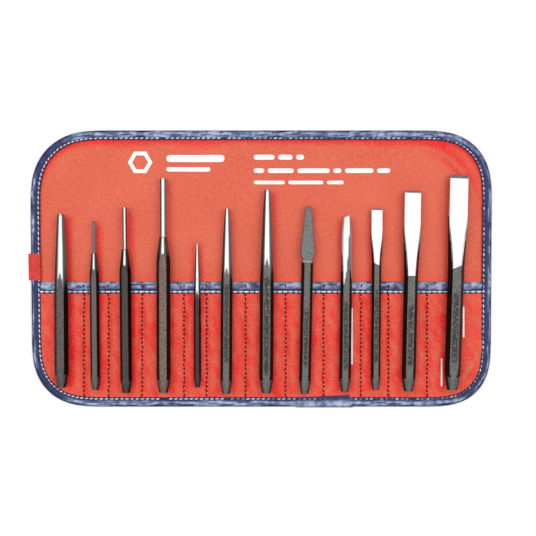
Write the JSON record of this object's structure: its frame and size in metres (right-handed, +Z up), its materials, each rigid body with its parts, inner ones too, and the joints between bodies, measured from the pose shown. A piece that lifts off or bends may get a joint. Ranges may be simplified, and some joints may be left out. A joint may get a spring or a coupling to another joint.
{
  "type": "punch and chisel set",
  "caption": "Open vinyl tool pouch with stitched pockets and bound edges, holding hexagonal punches, pin punches and chisels laid out side by side.",
  "frame": {"origin": "centre of the footprint on the ground, under the open pouch", "axes": "+X along the pouch's long side, towards the large chisel; +Y towards the tools' working ends; +Z up"},
  "size_m": [0.3606, 0.215, 0.0141],
  "materials": {
    "red_vinyl": "smooth satin vinyl sheet with soft highlights",
    "blue_binding": "glossy creased vinyl tape",
    "strap_vinyl": "satin vinyl strap",
    "seam_thread": "matte twisted thread",
    "tool_steel": "black oxide shank, ground and polished working end"
  },
  "bodies": {
    "pouch_centre": {"backing_centre": "red_vinyl", "pocket_centre": "red_vinyl", "pocket_binding_centre": "blue_binding", "edge_binding_top_centre": "blue_binding", "edge_binding_bottom_centre": "blue_binding", "pocket_seam_5": "seam_thread", "pocket_seam_6": "seam_thread", "pocket_seam_7": "seam_thread", "pocket_seam_8": "seam_thread", "pocket_seam_9": "seam_thread"},
    "pouch_left_spine": {"backing_left_spine": "red_vinyl", "pocket_left_spine": "red_vinyl", "pocket_binding_left_spine": "blue_binding", "edge_binding_top_left_spine": "blue_binding", "edge_binding_bottom_left_spine": "blue_binding", "pocket_seam_4": "seam_thread"},
    "pouch_left_flap": {"backing_left_flap": "red_vinyl", "pocket_left_flap": "red_vinyl", "pocket_binding_left_flap": "blue_binding", "edge_binding_left_flap": "blue_binding", "tie_strap": "strap_vinyl", "pocket_seam_1": "seam_thread", "pocket_seam_2": "seam_thread", "pocket_seam_3": "seam_thread"},
    "pouch_right_spine": {"backing_right_spine": "red_vinyl", "pocket_right_spine": "red_vinyl", "pocket_binding_right_spine": "blue_binding", "edge_binding_top_right_spine": "blue_binding", "edge_binding_bottom_right_spine": "blue_binding", "pocket_seam_10": "seam_thread"},
    "pouch_right_flap": {"backing_right_flap": "red_vinyl", "pocket_right_flap": "red_vinyl", "pocket_binding_right_flap": "blue_binding", "edge_binding_right_flap": "blue_binding", "pocket_seam_11": "seam_thread"},
    "centre_punch_body": {"centre_punch": "tool_steel"},
    "pin_punch_small_body": {"pin_punch_small": "tool_steel"},
    "pin_punch_medium_body": {"pin_punch_medium": "tool_steel"},
    "pin_punch_large_body": {"pin_punch_large": "tool_steel"},
    "prick_punch_body": {"prick_punch": "tool_steel"},
    "taper_punch_short_body": {"taper_punch_short": "tool_steel"},
    "taper_punch_long_body": {"taper_punch_long": "tool_steel"},
    "cape_chisel_body": {"cape_chisel": "tool_steel"},
    "diamond_point_chisel_body": {"diamond_point_chisel": "tool_steel"},
    "cold_chisel_small_body": {"cold_chisel_small": "tool_steel"},
    "cold_chisel_medium_body": {"cold_chisel_medium": "tool_steel"},
    "cold_chisel_large_body": {"cold_chisel_large": "tool_steel"}
  },
  "joints": [
    {"name": "left_spine_fold", "type": "hinge", "parent": "pouch_centre", "child": "pouch_left_spine", "pos_m": [-0.05846, 0, 0.0028], "axis": [0, 1, 0], "range_deg": [0, 90]},
    {"name": "left_flap_fold", "type": "hinge", "parent": "pouch_left_spine", "child": "pouch_left_flap", "pos_m": [-0.09106, 0, 0.0028], "axis": [0, 1, 0], "range_deg": [0, 90]},
    {"name": "right_spine_fold", "type": "hinge", "parent": "pouch_centre", "child": "pouch_right_spine", "pos_m": [0.09874, 0, 0.0028], "axis": [0, -1, 0], "range_deg": [0, 90]},
    {"name": "right_flap_fold", "type": "hinge", "parent": "pouch_right_spine", "child": "pouch_right_flap", "pos_m": [0.12884, 0, 0.0028], "axis": [0, -1, 0], "range_deg": [0, 90]},
    {"name": "centre_punch_slide", "type": "slide", "parent": "pouch_left_flap", "child": "centre_punch_body", "axis": [-0.0059, 1, 0], "range_m": [0, 0.09]},
    {"name": "pin_punch_small_slide", "type": "slide", "parent": "pouch_left_flap", "child": "pin_punch_small_body", "axis": [-0.0106, 0.9999, 0], "range_m": [0, 0.09]},
    {"name": "pin_punch_medium_slide", "type": "slide", "parent": "pouch_left_flap", "child": "pin_punch_medium_body", "axis": [-0.0098, 1, 0], "range_m": [0, 0.09]},
    {"name": "pin_punch_large_slide", "type": "slide", "parent": "pouch_left_spine", "child": "pin_punch_large_body", "axis": [-0.003, 1, 0], "range_m": [0, 0.09]},
    {"name": "prick_punch_slide", "type": "slide", "parent": "pouch_centre", "child": "prick_punch_body", "axis": [-0.0026, 1, 0], "range_m": [0, 0.09]},
    {"name": "taper_punch_short_slide", "type": "slide", "parent": "pouch_centre", "child": "taper_punch_short_body", "axis": [0.0056, 1, 0], "range_m": [0, 0.09]},
    {"name": "taper_punch_long_slide", "type": "slide", "parent": "pouch_centre", "child": "taper_punch_long_body", "axis": [0.0058, 1, 0], "range_m": [0, 0.09]},
    {"name": "cape_chisel_slide", "type": "slide", "parent": "pouch_centre", "child": "cape_chisel_body", "axis": [0.0208, 0.9998, 0], "range_m": [0, 0.09]},
    {"name": "diamond_point_chisel_slide", "type": "slide", "parent": "pouch_centre", "child": "diamond_point_chisel_body", "axis": [0.0133, 0.9999, 0], "range_m": [0, 0.09]},
    {"name": "cold_chisel_small_slide", "type": "slide", "parent": "pouch_centre", "child": "cold_chisel_small_body", "axis": [0.0086, 1, 0], "range_m": [0, 0.09]},
    {"name": "cold_chisel_medium_slide", "type": "slide", "parent": "pouch_right_spine", "child": "cold_chisel_medium_body", "axis": [0.0232, 0.9997, 0], "range_m": [0, 0.09]},
    {"name": "cold_chisel_large_slide", "type": "slide", "parent": "pouch_right_flap", "child": "cold_chisel_large_body", "axis": [0.0344, 0.9994, 0], "range_m": [0, 0.09]}
  ],
  "couplings": [
    {"joint": "left_flap_fold", "follows": "left_spine_fold", "ratio": 1},
    {"joint": "right_flap_fold", "follows": "right_spine_fold", "ratio": 1}
  ]
}
